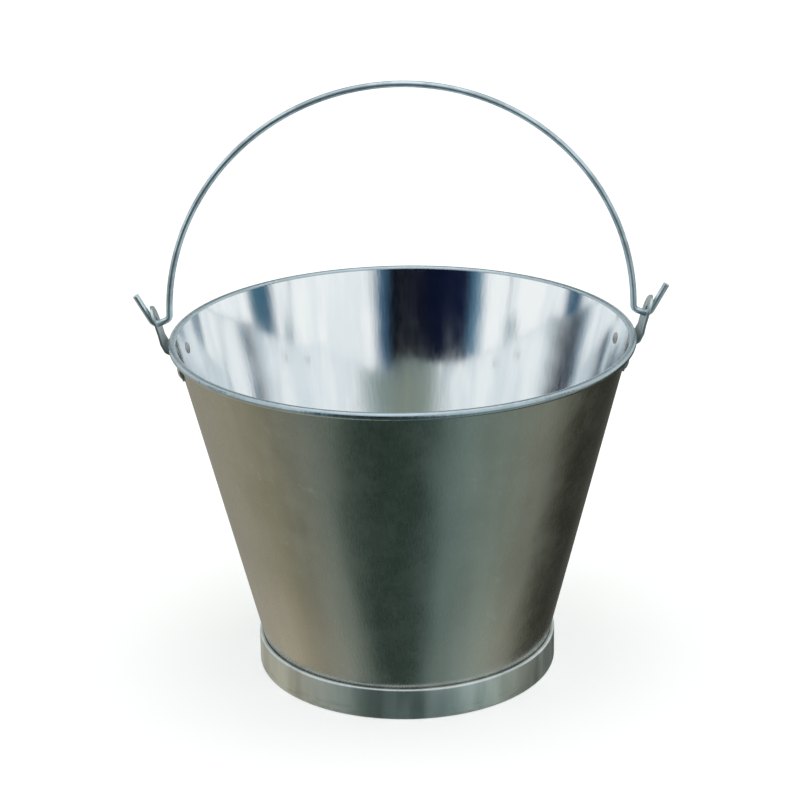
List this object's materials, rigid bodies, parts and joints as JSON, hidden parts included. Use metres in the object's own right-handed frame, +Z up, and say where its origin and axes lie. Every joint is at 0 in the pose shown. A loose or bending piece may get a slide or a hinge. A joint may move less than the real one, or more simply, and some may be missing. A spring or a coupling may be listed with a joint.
{
  "type": "feed bucket",
  "caption": "Round tapered steel pail with a wired rolled rim, a seamed-in bottom, a rolled-top foot ring, riveted ears and a swinging wire bail with upturned ends.",
  "frame": {"origin": "on the floor, under the centre of the bucket's bottom", "axes": "+Z up along the bucket's axis; +X to the right through the ears, along the bail's pivot line; -Y is the side facing the viewer"},
  "size_m": [0.3656, 0.32, 0.4165],
  "materials": {
    "sheet_steel": "tinned sheet, bright with soft upright streaks inside, dull and blotched outside",
    "foot_steel": "dull tinned sheet with a bright rolled top edge",
    "wire_steel": "plain galvanised wire",
    "ear_steel": "stamped plate, galvanised, satin",
    "bail_steel": "galvanised wire, satin, blue-grey",
    "rivet_steel": "plain set rivet, dull"
  },
  "bodies": {
    "bucket": {"bucket_wall": "sheet_steel", "bottom_pan": "sheet_steel", "foot_ring": "foot_steel", "rim_wire": "wire_steel", "ear_left": "ear_steel", "ear_right": "ear_steel", "rivet_left_front": "rivet_steel", "rivet_left_rear": "rivet_steel", "rivet_right_front": "rivet_steel", "rivet_right_rear": "rivet_steel"},
    "bail": {"bail": "bail_steel"}
  },
  "joints": [
    {"name": "bail_swing", "type": "hinge", "parent": "bucket", "child": "bail", "pos_m": [0, 0, 0.2521], "axis": [1, 0, 0], "range_deg": [-92.9, 92.9]}
  ]
}
